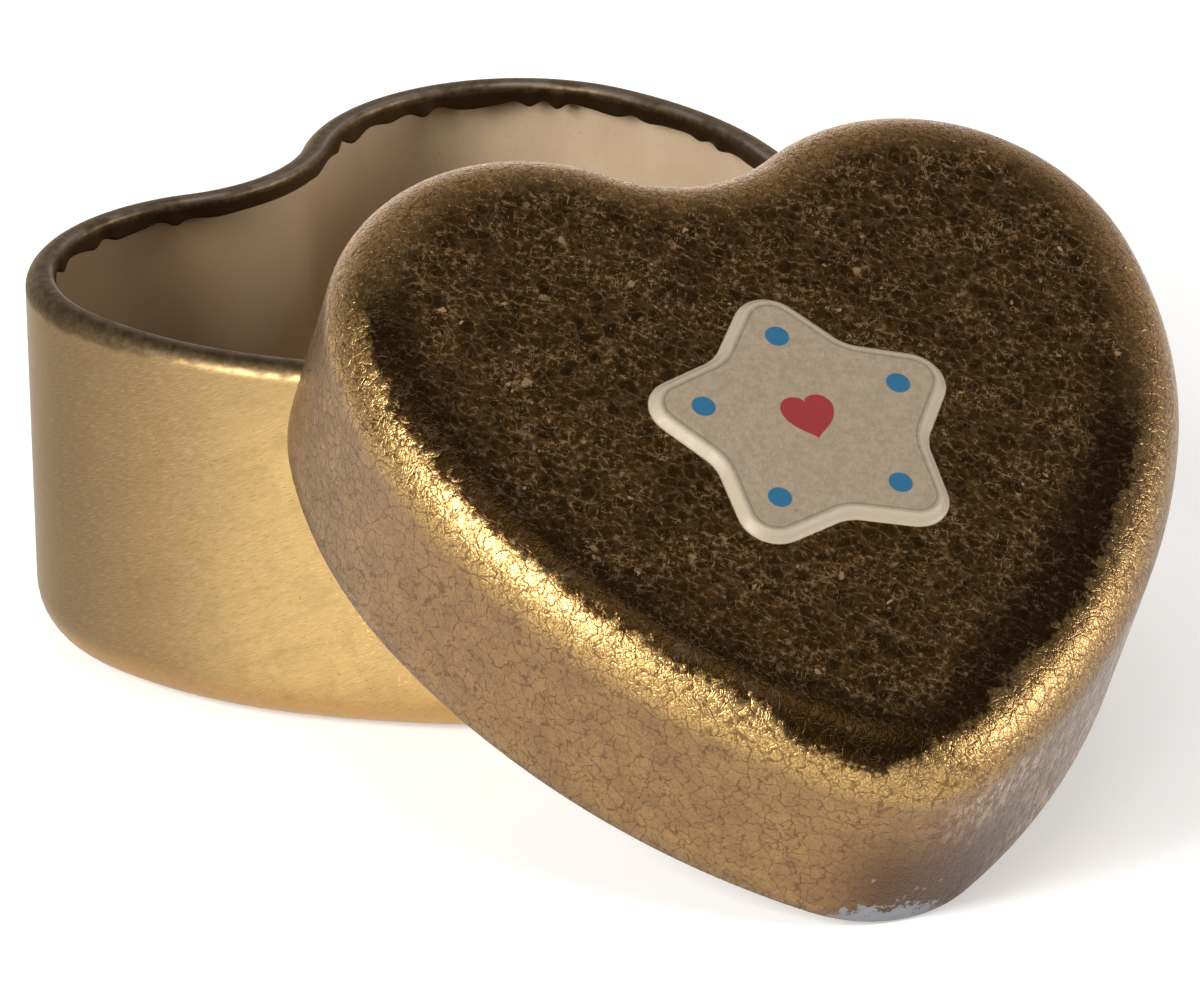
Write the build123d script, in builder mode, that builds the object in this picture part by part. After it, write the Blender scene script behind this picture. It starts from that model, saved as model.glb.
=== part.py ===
from build123d import *
from math import atan2, cos, degrees, radians, sin, sqrt, tan
import os

os.makedirs("parts", exist_ok=True)

# Heart-shaped keepsake tin in two drawn pieces, open, with its lid leaning on the box.
# The origin is the middle of the box's flat underside. +Y runs towards the heart's notch, +Z is up.

# Heart outline of the box's outer wall: tangent arcs on the right half, from notch to tip
lobe_offset = 13.0
lobe_radius = 13.9
shoulder_radius = 30.0
shoulder_angle = 6.9
side_radius = 49.2
tip_radius = 9.6
tip_distance = 28.4
notch_radius = 10.6

# Tinplate, and the box with its inward curled rim
sheet = 0.25
wall_height = 25.4
floor_corner = 4.2
curl_radius = 0.95
curl_wrap = 292.0

# Lid, a cap that goes over the box's wall
lid_clearance = 0.2
lid_height = 15.5
lid_corner = 3.8

# Raised star, pressed up out of the lid's own sheet
star_points = 5
star_radius = 11.8
star_waist_share = 0.63
star_tip_round = 2.3
star_waist_round = 3.0
star_rise = 0.55
star_bevel = 45.0
star_forward = 0.8

# Rest pose of the lid: its tip stands on the table, and its lobes lie on the rim on both sides
lid_turn = -28.5
overhang = 12.4
overhang_side = -2.2
seat_gap = 0.12
first_lean = 30.0
pose_steps = 12
arc_samples = 60

lid_grow = lid_clearance + sheet


def heart_arcs(grow):
    """Centre, radius, start and sweep (degrees) of each arc of the right half, grown outward."""
    middle = (lobe_radius - tip_distance - tip_radius) / 2
    notch_rise = sqrt((lobe_radius + notch_radius) ** 2 - lobe_offset**2)
    notch = Vector(0, notch_rise - middle)
    lobe = Vector(lobe_offset, -middle)
    tip = Vector(0, -tip_distance - middle)
    inset = shoulder_radius - lobe_radius
    shoulder = lobe - Vector(inset, 0).rotate(Axis.Z, shoulder_angle)

    # The side arc touches the shoulder and tip arcs, so its centre lies on a circle round each
    chord = tip - shoulder
    from_shoulder = side_radius - shoulder_radius
    from_tip = side_radius - tip_radius
    foot = (from_shoulder**2 - from_tip**2 + chord.length**2) / (2 * chord.length)
    along = chord.normalized()
    across = along.rotate(Axis.Z, -90)
    side = shoulder + along * foot + across * sqrt(from_shoulder**2 - foot**2)

    notch_end = degrees(atan2(-notch_rise, lobe_offset))
    side_start = degrees(atan2(shoulder.Y - side.Y, shoulder.X - side.X))
    side_end = degrees(atan2(tip.Y - side.Y, tip.X - side.X))
    return [
        (notch, notch_radius - grow, -90, notch_end + 90),
        (lobe, lobe_radius + grow, notch_end + 180, shoulder_angle - notch_end - 180),
        (shoulder, shoulder_radius + grow, shoulder_angle, side_start - shoulder_angle),
        (side, side_radius + grow, side_start, side_end - side_start),
        (tip, tip_radius + grow, side_end, -90 - side_end),
    ]


def heart(grow):
    """The heart as a flat face, its edge moved outward by grow."""
    with BuildSketch() as outline:
        with BuildLine():
            for centre, radius, start, turn in heart_arcs(grow):
                CenterArc(centre, radius, start, turn)
            mirror(about=Plane.YZ)
        make_face()
    return outline.sketch


def star(grow):
    """A star with rounded tips and waists as a flat face, its edge moved outward by grow."""
    with BuildSketch() as outline:
        with BuildLine():
            corners = []
            for corner in range(2 * star_points):
                reach = star_radius * (1 if corner % 2 == 0 else star_waist_share)
                corners.append(Vector(0, reach).rotate(Axis.Z, corner * 180 / star_points))
            Polyline(*corners, close=True)
        make_face()
        by_reach = outline.vertices().group_by(lambda corner: round(Vector(corner).length, 3))
        fillet(by_reach[-1], radius=star_tip_round)
        waists = outline.vertices().group_by(lambda corner: round(Vector(corner).length, 3))[0]
        fillet(waists, radius=star_waist_round)
        if grow:
            offset(amount=grow)
    return outline.sketch


def wall_inset(place):
    """How far a point lies inside the box's outer wall in plan; negative outside it."""
    insets = []
    for centre, radius, start, turn in heart_arcs(0):
        spoke = Vector(abs(place.X), place.Y) - centre
        bearing = degrees(atan2(spoke.Y, spoke.X))
        if min(start, start + turn) <= bearing <= max(start, start + turn):
            hollow = centre.X == 0 and centre.Y > 0
            insets.append(spoke.length - radius if hollow else radius - spoke.length)
    return min(insets, key=abs) if insets else -lobe_radius


def rim_height(inset):
    """Height of the curled rim's top at a distance in from the outer wall."""
    return wall_height - curl_radius + sqrt(max(curl_radius**2 - (inset - curl_radius) ** 2, 0))


def edge_points():
    """Points along the lid's skirt edge, on its outer and inner faces, in the lid's own plane."""
    points = []
    for grow in (lid_grow, lid_grow - sheet):
        for centre, radius, start, turn in heart_arcs(grow):
            for step in range(arc_samples):
                bearing = radians(start + turn * step / arc_samples)
                point = centre + Vector(cos(bearing), sin(bearing)) * radius
                points.append(point)
                points.append(Vector(-point.X, point.Y))
    return points


def lid_place(lean, roll):
    """Plane of the lid's skirt edge for a lean and a roll, with its tip standing on the table."""
    turn = Rotation(0, 0, lid_turn) * Rotation(lean, 0, 0) * Rotation(0, roll, 0)
    frame = Plane(turn)
    box_tip = Vector(0, -tip_distance - tip_radius - (lobe_radius - tip_distance - tip_radius) / 2)
    notch_centre, notch_round, _, _ = heart_arcs(lid_grow)[0]
    lid_notch = frame.from_local_coords(notch_centre - Vector(0, notch_round))
    seat = box_tip + Vector(overhang_side, overhang) - lid_notch
    lowest = min(frame.from_local_coords(point).Z for point in edge_points())
    return Plane(Vector(seat.X, seat.Y, seat_gap - lowest), frame.x_dir, frame.z_dir)


def lid_rest():
    """The lid's plane once both lobes lie on the rim, with the same small gap on each side."""
    lean, roll = first_lean, 0.0
    for _ in range(pose_steps):
        place = lid_place(lean, roll)
        over = {-1: [], 1: []}
        for point in edge_points():
            spot = place.from_local_coords(point)
            inset = wall_inset(spot)
            if 0 <= inset <= 2 * curl_radius:
                over[1 if point.X > 0 else -1].append((spot.Z - rim_height(inset), point))
        left_gap, left = min(over[-1], key=lambda pair: pair[0])
        right_gap, right = min(over[1], key=lambda pair: pair[0])
        reach = (left.Y + right.Y) / 2 + tip_distance
        lean -= degrees(((left_gap + right_gap) / 2 - seat_gap) / reach)
        roll += degrees((right_gap - left_gap) / (right.X - left.X))
    print(f"The lid leans {lean:.2f} degrees and rolls {roll:.2f} degrees.")
    return place


# Box: one drawn piece, its wall drawn up from the floor and its rim curled inward
with BuildPart() as box_body:
    with BuildSketch():
        add(heart(0))
    extrude(amount=wall_height - curl_radius)
    fillet(box_body.faces().sort_by(Axis.Z)[0].edges(), radius=floor_corner)
    offset(amount=-sheet, openings=box_body.faces().sort_by(Axis.Z)[-1])

    outer_edge = heart(0).wire()
    tip_point = outer_edge.vertices().sort_by(Axis.Y)[0]
    with BuildSketch(Plane(Vector(tip_point), x_dir=(0, 1, 0), z_dir=(1, 0, 0))) as curl:
        with BuildLine():
            outer = CenterArc((curl_radius, wall_height - curl_radius), curl_radius, 180, -curl_wrap)
            inner = CenterArc((curl_radius, wall_height - curl_radius), curl_radius - sheet, 180, -curl_wrap)
            Line(outer @ 0, inner @ 0)
            Line(outer @ 1, inner @ 1)
        make_face()
    sweep(path=outer_edge)
box_body.part.label = "box_body"
export_step(box_body.part, "parts/box_body.step")

# Lid: one drawn cap, with the star raised from its top and hollow behind
lid_plane = lid_rest()
with BuildPart() as lid:
    with BuildSketch(lid_plane):
        add(heart(lid_grow))
    extrude(amount=lid_height)
    top_face = lid.faces().sort_by(Axis(lid_plane.origin, lid_plane.z_dir))[-1]
    fillet(top_face.edges(), radius=lid_corner)
    open_face = lid.faces().sort_by(Axis(lid_plane.origin, lid_plane.z_dir))[0]
    offset(amount=-sheet, openings=open_face)

    # The raised star, then the hollow behind it, both with a sloping wall
    bevel_run = star_rise / tan(radians(star_bevel))
    hollow_inset = sheet * tan(radians(star_bevel) / 2)
    for height, grow, mode in ((lid_height, 0, Mode.ADD), (lid_height - sheet, -hollow_inset, Mode.SUBTRACT)):
        star_base = lid_plane.offset(height)
        star_base.origin = star_base.from_local_coords((0, star_forward, 0))
        with BuildSketch(star_base):
            add(star(grow))
        with BuildSketch(star_base.offset(star_rise)):
            add(star(grow - bevel_run))
        loft(ruled=True, mode=mode)
lid.part.label = "lid"
export_step(lid.part, "parts/lid.step")
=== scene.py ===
import math

import bmesh
import bpy
import numpy as np
from mathutils import Matrix, Vector


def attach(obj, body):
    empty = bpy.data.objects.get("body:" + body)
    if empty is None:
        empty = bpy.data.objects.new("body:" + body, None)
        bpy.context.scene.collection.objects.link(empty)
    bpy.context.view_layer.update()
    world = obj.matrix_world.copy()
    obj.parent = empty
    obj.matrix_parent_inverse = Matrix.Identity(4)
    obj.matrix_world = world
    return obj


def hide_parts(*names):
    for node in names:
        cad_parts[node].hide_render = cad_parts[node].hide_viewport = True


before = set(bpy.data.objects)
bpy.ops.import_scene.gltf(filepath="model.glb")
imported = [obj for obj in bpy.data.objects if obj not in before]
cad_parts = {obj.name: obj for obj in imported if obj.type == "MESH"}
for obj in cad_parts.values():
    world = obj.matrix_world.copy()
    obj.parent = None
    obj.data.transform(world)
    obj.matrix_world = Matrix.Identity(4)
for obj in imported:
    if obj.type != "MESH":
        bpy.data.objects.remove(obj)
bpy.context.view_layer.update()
MM = 0.001
scene = bpy.context.scene

# Camera
# A long lens on a stand, in front of the heart's left side and looking down on the open tin.
# Its turn and tilt are angles round the tin, and its shift across the view is in millimetres.
CAMERA_TURN = 48.07
CAMERA_TILT = 22.764
CAMERA_ROLL = -1.327
CAMERA_DISTANCE = 895.4
CAMERA_ACROSS = 5.072
CAMERA_UP = 7.105
LENS = 410.7
SENSOR_WIDTH = 36

turn, tilt, roll = (math.radians(angle) for angle in (CAMERA_TURN, CAMERA_TILT, CAMERA_ROLL))
forward = Vector((math.sin(turn) * math.cos(tilt), math.cos(turn) * math.cos(tilt), -math.sin(tilt)))
level = Vector((math.cos(turn), -math.sin(turn), 0))
right = math.cos(roll) * level + math.sin(roll) * level.cross(forward)
up = right.cross(forward)

camera_data = bpy.data.cameras.new("camera")
camera_data.lens = LENS
camera_data.sensor_width = SENSOR_WIDTH
camera_data.clip_start = 0.05
camera_data.clip_end = 20
camera = bpy.data.objects.new("camera", camera_data)
place = (right * CAMERA_ACROSS + up * CAMERA_UP - forward * CAMERA_DISTANCE) * MM
camera.matrix_world = Matrix.Translation(place) @ Matrix((right, up, -forward)).transposed().to_4x4()
scene.collection.objects.link(camera)
scene.camera = camera


# Studio
# A white table top that runs on to the horizon, under a grey ceiling and in front of a pale wall,
# with soft windows of light on the left, on the right and overhead, and a weak one behind.
FLOOR_SIZE = 6.0
FLOOR_COLOUR = (0.82, 0.82, 0.82, 1)
FLOOR_GLOW = 0.35
# the room's grey from the horizon up, and the wall's grey from its edge to its middle
ROOM_GREYS = [(0.0, (0.60, 0.59, 0.58)), (0.07, (0.30, 0.29, 0.28)), (0.25, (0.11, 0.106, 0.102)),
              (0.6, (0.12, 0.115, 0.11)), (1.0, (0.20, 0.193, 0.187))]
WALL_GREYS = [(0.05, (0, 0, 0)), (0.45, (0.68, 0.66, 0.645))]
WALL_FADE_UP = 0.55


def new_tree(name):
    """An empty material and its node tree."""
    material = bpy.data.materials.new(name)
    material.use_nodes = True
    material.node_tree.nodes.clear()
    return material, material.node_tree


def add_node(tree, kind, inputs=None, **settings):
    """A node with its settings and inputs; an input is a value or another node's output."""
    node = tree.nodes.new(kind)
    for name, value in settings.items():
        setattr(node, name, value)
    for key, value in (inputs or {}).items():
        if isinstance(value, bpy.types.NodeSocket):
            tree.links.new(value, node.inputs[key])
        else:
            node.inputs[key].default_value = value
    return node


def math_node(tree, operation, *values, clamp=False):
    """The output of a Math node."""
    node = add_node(tree, "ShaderNodeMath", dict(enumerate(values)), operation=operation, use_clamp=clamp)
    return node.outputs[0]


def times(tree, first, second):
    """The product of two values."""
    return math_node(tree, "MULTIPLY", first, second)


def larger(tree, first, second):
    """The larger of two values."""
    return math_node(tree, "MAXIMUM", first, second)


def ramp_node(tree, factor, stops):
    """The colour output of a Color Ramp with (position, colour) stops."""
    node = add_node(tree, "ShaderNodeValToRGB", {"Fac": factor})
    while len(node.color_ramp.elements) < len(stops):
        node.color_ramp.elements.new(1)
    for element, (position, colour) in zip(node.color_ramp.elements, stops):
        element.position = position
        element.color = (*colour, 1)
    return node.outputs["Color"]


def dot_product(tree, vector, along):
    """How far a vector reaches along a fixed direction."""
    node = add_node(tree, "ShaderNodeVectorMath", {0: vector, 1: along}, operation="DOT_PRODUCT")
    return node.outputs["Value"]


floor_mesh = bpy.data.meshes.new("floor")
half = FLOOR_SIZE / 2
floor_corners = [(-half, -half, 0), (half, -half, 0), (half, half, 0), (-half, half, 0)]
floor_mesh.from_pydata(floor_corners, [], [(0, 1, 2, 3)])
floor = bpy.data.objects.new("floor", floor_mesh)
scene.collection.objects.link(floor)

paper, tree = new_tree("white_paper")
fibre = add_node(tree, "ShaderNodeTexNoise", {"Scale": 900.0, "Detail": 3.0}).outputs["Fac"]
fibre_bump = add_node(tree, "ShaderNodeBump", {"Strength": 0.05, "Distance": 0.0001, "Height": fibre})
paper_surface = add_node(tree, "ShaderNodeBsdfPrincipled",
                         {"Base Color": FLOOR_COLOUR, "Roughness": 0.7, "Specular IOR Level": 0.2,
                          "Normal": fibre_bump.outputs["Normal"]})
path = add_node(tree, "ShaderNodeLightPath").outputs
seen = larger(tree, larger(tree, path["Is Camera Ray"], path["Is Glossy Ray"]), path["Is Transmission Ray"])
glow = add_node(tree, "ShaderNodeEmission", {"Color": (1, 1, 1, 1),
                                             "Strength": times(tree, seen, FLOOR_GLOW)})
both = add_node(tree, "ShaderNodeAddShader", {0: paper_surface.outputs[0], 1: glow.outputs[0]})
add_node(tree, "ShaderNodeOutputMaterial", {"Surface": both.outputs[0]})
floor_mesh.materials.append(paper)

world = bpy.data.worlds.new("studio")
world.use_nodes = True
world.node_tree.nodes.clear()
tree = world.node_tree
direction = add_node(tree, "ShaderNodeTexCoord").outputs["Generated"]
height = add_node(tree, "ShaderNodeSeparateXYZ", {0: direction}).outputs["Z"]
ceiling = ramp_node(tree, height, ROOM_GREYS)
away = dot_product(tree, direction, (forward.x, forward.y, 0))
behind = math_node(tree, "SUBTRACT", away, times(tree, height, WALL_FADE_UP), clamp=True)
wall = ramp_node(tree, behind, WALL_GREYS)
room = add_node(tree, "ShaderNodeMix", {0: 1.0, 6: ceiling, 7: wall}, data_type="RGBA", blend_type="LIGHTEN")
background = add_node(tree, "ShaderNodeBackground", {"Color": room.outputs[2], "Strength": 1.0})
add_node(tree, "ShaderNodeOutputWorld", {"Surface": background.outputs[0]})
scene.world = world


def window(name, azimuth, elevation, distance, width, height, power):
    """A soft rectangular light that faces the tin, its azimuth counted from the camera's side."""
    around = math.atan2(-forward.y, -forward.x) + math.radians(azimuth)
    high = math.radians(elevation)
    away = Vector((math.cos(around) * math.cos(high), math.sin(around) * math.cos(high), math.sin(high)))
    lamp_data = bpy.data.lights.new(name, "AREA")
    lamp_data.shape = "RECTANGLE"
    lamp_data.size = width
    lamp_data.size_y = height
    lamp_data.energy = power
    lamp = bpy.data.objects.new(name, lamp_data)
    facing = away.to_track_quat("Z", "Y").to_matrix().to_4x4()
    lamp.matrix_world = Matrix.Translation(away * distance) @ facing
    scene.collection.objects.link(lamp)


window("window_left", azimuth=-45, elevation=28, distance=0.9, width=0.34, height=0.44, power=10.2)
window("window_right", azimuth=82, elevation=13, distance=1.0, width=0.5, height=0.3, power=7.0)
window("window_above", azimuth=10, elevation=64, distance=1.2, width=0.5, height=0.4, power=3.0)
window("window_behind", azimuth=190, elevation=6, distance=1.2, width=0.9, height=0.10, power=0.9)


# Box
# One sheet of tinplate drawn to a heart-shaped cup, its edge rolled inward into a curl that
# hides the cut edge. Satin gold lacquer outside, matt beige lacquer inside.
LOBE_OFFSET = 13.0
LOBE_RADIUS = 13.9
SHOULDER_RADIUS = 30.0
SHOULDER_ANGLE = 6.9
SIDE_RADIUS = 49.2
TIP_RADIUS = 9.6
TIP_DISTANCE = 28.4
NOTCH_RADIUS = 10.6
SHEET = 0.25
WALL_HEIGHT = 25.4
FLOOR_CORNER = 4.2
OUTLINE_STEP = 0.26
# how strongly the rolled hem puckers on each stretch of the outline, and how far that blends
NOTCH_BEND, LOBE_BEND, SHOULDER_BEND, SIDE_BEND, TIP_BEND = 0.0, 1.0, 0.5, 0.15, 1.0
BEND_BLEND = 12
PUCKER_DEPTH = 0.48
PUCKER_PITCH = 3.7
PUCKER_LEVEL = 0.35
PUCKER_INWARD = 0.35


def arc(centre, radius, start, end, step):
    """Points and outward directions along an arc, without its last point."""
    start, end = math.radians(start), math.radians(end)
    count = max(2, round(abs(end - start) * radius / step))
    angles = np.linspace(start, end, count, endpoint=False)
    spokes = np.stack([np.cos(angles), np.sin(angles)], 1)
    return np.array(centre) + radius * spokes, spokes


def heart(step):
    """Closed heart outline of the box's outer wall: points, outward directions and bends."""
    middle = (LOBE_RADIUS - TIP_DISTANCE - TIP_RADIUS) / 2
    notch_rise = math.sqrt((LOBE_RADIUS + NOTCH_RADIUS) ** 2 - LOBE_OFFSET**2)
    notch = np.array((0, notch_rise - middle))
    lobe = np.array((LOBE_OFFSET, -middle))
    tip = np.array((0, -TIP_DISTANCE - middle))
    lean = math.radians(SHOULDER_ANGLE)
    shoulder = lobe - (SHOULDER_RADIUS - LOBE_RADIUS) * np.array((math.cos(lean), math.sin(lean)))
    chord = tip - shoulder
    length = np.linalg.norm(chord)
    from_shoulder = SIDE_RADIUS - SHOULDER_RADIUS
    from_tip = SIDE_RADIUS - TIP_RADIUS
    foot = (from_shoulder**2 - from_tip**2 + length**2) / (2 * length)
    along = chord / length
    across = np.array((along[1], -along[0]))
    side = shoulder + along * foot + across * math.sqrt(from_shoulder**2 - foot**2)
    notch_end = math.degrees(math.atan2(-notch_rise, LOBE_OFFSET))
    side_start = math.degrees(math.atan2(*(shoulder - side)[::-1]))
    side_end = math.degrees(math.atan2(*(tip - side)[::-1]))

    # the notch's spokes point into the tin, so their directions are turned round
    stretches = [
        (*arc(notch, NOTCH_RADIUS, -90, notch_end, step), -1, NOTCH_BEND),
        (*arc(lobe, LOBE_RADIUS, notch_end + 180, SHOULDER_ANGLE, step), 1, LOBE_BEND),
        (*arc(shoulder, SHOULDER_RADIUS, SHOULDER_ANGLE, side_start, step), 1, SHOULDER_BEND),
        (*arc(side, SIDE_RADIUS, side_start, side_end, step), 1, SIDE_BEND),
        (*arc(tip, TIP_RADIUS, side_end, -90, step), 1, TIP_BEND),
    ]
    points = np.concatenate([points for points, *_ in stretches])
    outward = np.concatenate([spokes * sign for _, spokes, sign, _ in stretches])
    bends = np.concatenate([np.full(len(points), bend) for points, _, _, bend in stretches])
    last = tip - np.array((0, TIP_RADIUS))
    flip = np.array((-1, 1))
    points = np.concatenate([points, [last], points[:0:-1] * flip])
    outward = np.concatenate([outward, [(0, -1)], outward[:0:-1] * flip])
    bends = np.concatenate([bends, [TIP_BEND], bends[:0:-1]])
    soft = sum(np.roll(bends, shift) for shift in range(-BEND_BLEND, BEND_BLEND + 1)) / (2 * BEND_BLEND + 1)
    return points[::-1], outward[::-1], soft[::-1]


def round_corner(centre, radius, start, end, count):
    """Section points round an arc, as (distance outward, height)."""
    angles = np.radians(np.linspace(start, end, count))
    return [(centre[0] + radius * math.cos(a), centre[1] + radius * math.sin(a)) for a in angles]


def keep_values(mesh, values):
    """Stores named float values on a mesh's points."""
    for label, numbers in values.items():
        store = mesh.attributes.new(label, "FLOAT", "POINT").data
        store.foreach_set("value", np.asarray(numbers, np.float32))


def loose_chain(name, points, values):
    """An object of points joined by edges, which carries point values into a node tree."""
    mesh = bpy.data.meshes.new(name)
    edges = [(index, index + 1) for index in range(len(points) - 1)]
    mesh.from_pydata([tuple(point) for point in points], edges, [])
    keep_values(mesh, values)
    chain = bpy.data.objects.new(name, mesh)
    scene.collection.objects.link(chain)
    return chain


RIM_OUTER_ROUND = 1.15
RIM_INNER_ROUND = 0.40
RIM_WIDTH = 1.9
HEM_DROP = 1.5
HEM_LEAN = 0.18
# the degrees that the rim's outer round takes to turn brown (partly painted shade, as the round turns
# up), its late start as a share of them, and where the painted glint on the fold lies, in degrees
ZONE_SPAN = 55
ZONE_LATE = 0.3
GLINT_AT = 118
GLINT_SPREAD = 22

outer_centre = (-RIM_OUTER_ROUND, WALL_HEIGHT - RIM_OUTER_ROUND)
fold_centre = (RIM_INNER_ROUND - RIM_WIDTH, WALL_HEIGHT - RIM_INNER_ROUND)
corner_centre = (-FLOOR_CORNER, FLOOR_CORNER)
drops = np.linspace(0, 1, 8)[1:]
hem_length = HEM_DROP - RIM_INNER_ROUND
hem_out = [(-RIM_WIDTH + HEM_LEAN * drop, fold_centre[1] - hem_length * drop) for drop in drops]
hem_in = [(across + SHEET, height) for across, height in hem_out[::-1]]
outer_wall = [(0, height) for height in np.linspace(FLOOR_CORNER, outer_centre[1], 10)[1:-1]]
inner_wall = [(-SHEET, height) for height in np.linspace(outer_centre[1], FLOOR_CORNER, 8)[1:-1]]

# each run of the section with its zone (0 outer wall, 1 rim, 2 inside), hem weight and painted fold glint
zone_rise = np.clip(np.linspace(0, 90, 16) / ZONE_SPAN - ZONE_LATE, 0, 1)
fold_glint = np.exp(-((np.linspace(90, 180, 9) - GLINT_AT) / GLINT_SPREAD) ** 2)
section = [
    (round_corner(corner_centre, FLOOR_CORNER, -90, 0, 14), 0, 0, 0),
    (outer_wall, 0, 0, 0),
    (round_corner(outer_centre, RIM_OUTER_ROUND, 0, 90, 16), zone_rise, 0, 0),
    (round_corner(fold_centre, RIM_INNER_ROUND, 90, 180, 9), 1, 0, fold_glint),
    (hem_out, 1, drops, 0),
    (hem_in, 1, drops[::-1], 0),
    (round_corner(fold_centre, RIM_INNER_ROUND - SHEET, 180, 90, 5), 1, 0, 0),
    (round_corner(outer_centre, RIM_OUTER_ROUND - SHEET, 90, 0, 8), 2, 0, 0),
    (inner_wall, 2, 0, 0),
    (round_corner(corner_centre, FLOOR_CORNER - SHEET, 0, -90, 10), 2, 0, 0),
]
section_points = np.array([(across, 0, height) for run, *_ in section for across, height in run])
section_values = {
    label: np.concatenate([np.full(len(row[0]), row[column], float) for row in section])
    for column, label in ((1, "zone"), (2, "hem"), (3, "fold"))
}

outline, outward, bends = heart(OUTLINE_STEP)
steps = np.linalg.norm(np.roll(outline, -1, 0) - outline, axis=1)
run = np.concatenate([[0], np.cumsum(steps)])
closed_outline = np.vstack([outline, outline[:1]])
outline_points = np.column_stack([closed_outline, np.zeros(len(closed_outline))])
outline_chain = loose_chain("box_outline", outline_points * MM, {
    "out_x": np.append(outward[:, 0], outward[0, 0]),
    "out_y": np.append(outward[:, 1], outward[0, 1]),
    "bend": np.append(bends, bends[0]),
    "run": run * MM,
})
section_chain = loose_chain("box_section", section_points * MM, section_values)


def plus(tree, first, second):
    """The sum of two values."""
    return math_node(tree, "ADD", first, second)


def minus(tree, first, second):
    """The first value less the second."""
    return math_node(tree, "SUBTRACT", first, second)


def drawn_cup_tree():
    """Geometry Nodes tree that carries a section round an outline and puckers its rolled hem."""
    tree = bpy.data.node_groups.new("drawn_cup", "GeometryNodeTree")
    sockets = {}
    for label, kind in (("Outline", "Object"), ("Section", "Object"), ("Pucker depth", "Float"),
                        ("Pucker pitch", "Float"), ("Lacquer", "Material")):
        socket = tree.interface.new_socket(label, in_out="INPUT", socket_type="NodeSocket" + kind)
        sockets[label] = socket.identifier
    tree.interface.new_socket("Cup", in_out="OUTPUT", socket_type="NodeSocketGeometry")
    given = add_node(tree, "NodeGroupInput").outputs

    outline = add_node(tree, "GeometryNodeObjectInfo", {"Object": given["Outline"]}).outputs["Geometry"]
    section = add_node(tree, "GeometryNodeObjectInfo", {"Object": given["Section"]}).outputs["Geometry"]
    around = add_node(tree, "GeometryNodeAttributeDomainSize", {"Geometry": outline}).outputs["Point Count"]
    along = add_node(tree, "GeometryNodeAttributeDomainSize", {"Geometry": section}).outputs["Point Count"]
    grid = add_node(tree, "GeometryNodeMeshGrid", {"Vertices X": around, "Vertices Y": along}).outputs["Mesh"]
    index = add_node(tree, "GeometryNodeInputIndex").outputs[0]
    outline_index = math_node(tree, "FLOOR", math_node(tree, "DIVIDE", index, along))
    section_index = math_node(tree, "MODULO", index, along)

    def sampled(geometry, at, label=None):
        """A named float value, or the position where no name is given, read from a chain."""
        kind = "FLOAT" if label else "FLOAT_VECTOR"
        if label:
            named = add_node(tree, "GeometryNodeInputNamedAttribute", {"Name": label}, data_type=kind)
            value = named.outputs["Attribute"]
        else:
            value = add_node(tree, "GeometryNodeInputPosition").outputs[0]
        inputs = {"Geometry": geometry, "Index": at}
        reader = add_node(tree, "GeometryNodeSampleIndex", inputs, data_type=kind)
        tree.links.new(value, reader.inputs["Value"])
        return reader.outputs["Value"]

    def uneven(at, scale, detail):
        """Noise along the outline."""
        inputs = {"W": at, "Scale": scale, "Detail": detail}
        return add_node(tree, "ShaderNodeTexNoise", inputs, noise_dimensions="1D").outputs["Fac"]

    spot = sampled(outline, outline_index)
    reach = add_node(tree, "ShaderNodeSeparateXYZ", {0: sampled(section, section_index)}).outputs
    weight = times(tree, sampled(section, section_index, "hem"), sampled(outline, outline_index, "bend"))
    pitch = math_node(tree, "DIVIDE", sampled(outline, outline_index, "run"), given["Pucker pitch"])
    phase = plus(tree, times(tree, pitch, math.pi), times(tree, uneven(pitch, 0.7, 0.0), 3.0))
    bumps = math_node(tree, "POWER", math_node(tree, "ABSOLUTE", math_node(tree, "SINE", phase)), 2.0)
    depth = times(tree, given["Pucker depth"], times(tree, uneven(pitch, 0.8, 1.0), 1.6))
    swing = times(tree, minus(tree, bumps, PUCKER_LEVEL), times(tree, weight, depth))
    across = minus(tree, reach["X"], times(tree, swing, PUCKER_INWARD))
    height = minus(tree, reach["Z"], swing)
    shift = add_node(tree, "ShaderNodeCombineXYZ", {
        "X": times(tree, sampled(outline, outline_index, "out_x"), across),
        "Y": times(tree, sampled(outline, outline_index, "out_y"), across), "Z": height}).outputs[0]
    place = add_node(tree, "ShaderNodeVectorMath", {0: spot, 1: shift}, operation="ADD").outputs[0]
    cup = add_node(tree, "GeometryNodeSetPosition", {"Geometry": grid, "Position": place}).outputs[0]
    for label, source, at in (("run", outline, outline_index), ("bend", outline, outline_index),
                              ("zone", section, section_index), ("fold", section, section_index),
                              ("hem", section, section_index)):
        keep = add_node(tree, "GeometryNodeStoreNamedAttribute", {"Geometry": cup, "Name": label},
                        data_type="FLOAT", domain="POINT")
        tree.links.new(sampled(source, at, label), keep.inputs["Value"])
        cup = keep.outputs[0]
    real = add_node(tree, "GeometryNodeRealizeInstances", {0: cup}).outputs[0]
    coated = add_node(tree, "GeometryNodeSetMaterial", {"Geometry": real, "Material": given["Lacquer"]})
    tree.links.new(coated.outputs[0], add_node(tree, "NodeGroupOutput").inputs["Cup"])
    return tree, sockets


def grown(name, tree, sockets, values):
    """A plain mesh object made by a Geometry Nodes tree from its named input values."""
    seed = bpy.data.objects.new(name + "_seed", bpy.data.meshes.new(name + "_seed"))
    scene.collection.objects.link(seed)
    modifier = seed.modifiers.new("shape", "NODES")
    modifier.node_group = tree
    for label, value in values.items():
        modifier[sockets[label]] = value
    mesh = bpy.data.meshes.new_from_object(seed.evaluated_get(bpy.context.evaluated_depsgraph_get()))
    mesh.name = name
    bpy.data.objects.remove(seed)
    piece = bpy.data.objects.new(name, mesh)
    scene.collection.objects.link(piece)
    return piece


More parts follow.
